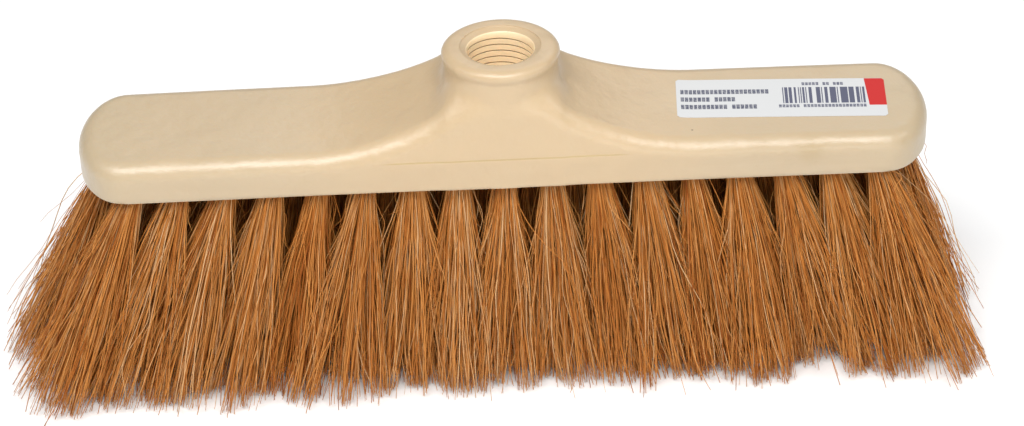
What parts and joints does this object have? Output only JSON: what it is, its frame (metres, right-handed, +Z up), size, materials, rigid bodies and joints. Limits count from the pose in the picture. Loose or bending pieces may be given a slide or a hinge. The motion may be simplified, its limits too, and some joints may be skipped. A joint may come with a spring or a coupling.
{
  "type": "push broom head",
  "caption": "Broom head: a moulded plastic block with a leaning threaded handle socket, a label, and staggered rows of coir tufts.",
  "frame": {"origin": "middle of the base of the whole broom head: the bristle tips stand on z = 0", "axes": "+X along the block's length, towards the wing that carries the label; +Z up, from the tips to the socket; -Y is the front, and the socket leans towards +Y"},
  "size_m": [0.3414, 0.0754, 0.1243],
  "materials": {
    "plastic": "cream moulded plastic, satin",
    "paper": "white printed paper label, satin",
    "coir": "natural coconut fibre, dry"
  },
  "bodies": {
    "root": {"block": "plastic", "label": "paper", "tuft_front_01": "coir", "tuft_front_02": "coir", "tuft_front_03": "coir", "tuft_front_04": "coir", "tuft_front_05": "coir", "tuft_front_06": "coir", "tuft_front_07": "coir", "tuft_front_08": "coir", "tuft_front_09": "coir", "tuft_front_10": "coir", "tuft_front_11": "coir", "tuft_front_12": "coir", "tuft_front_13": "coir", "tuft_front_14": "coir", "tuft_front_15": "coir", "tuft_front_16": "coir", "tuft_front_17": "coir", "tuft_middle_01": "coir", "tuft_middle_02": "coir", "tuft_middle_03": "coir", "tuft_middle_04": "coir", "tuft_middle_05": "coir", "tuft_middle_06": "coir", "tuft_middle_07": "coir", "tuft_middle_08": "coir", "tuft_middle_09": "coir", "tuft_middle_10": "coir", "tuft_middle_11": "coir", "tuft_middle_12": "coir", "tuft_middle_13": "coir", "tuft_middle_14": "coir", "tuft_middle_15": "coir", "tuft_middle_16": "coir", "tuft_middle_17": "coir", "tuft_middle_18": "coir", "tuft_back_01": "coir", "tuft_back_02": "coir", "tuft_back_03": "coir", "tuft_back_04": "coir", "tuft_back_05": "coir", "tuft_back_06": "coir", "tuft_back_07": "coir", "tuft_back_08": "coir", "tuft_back_09": "coir", "tuft_back_10": "coir", "tuft_back_11": "coir", "tuft_back_12": "coir", "tuft_back_13": "coir", "tuft_back_14": "coir", "tuft_back_15": "coir", "tuft_back_16": "coir", "tuft_back_17": "coir"}
  },
  "joints": []
}
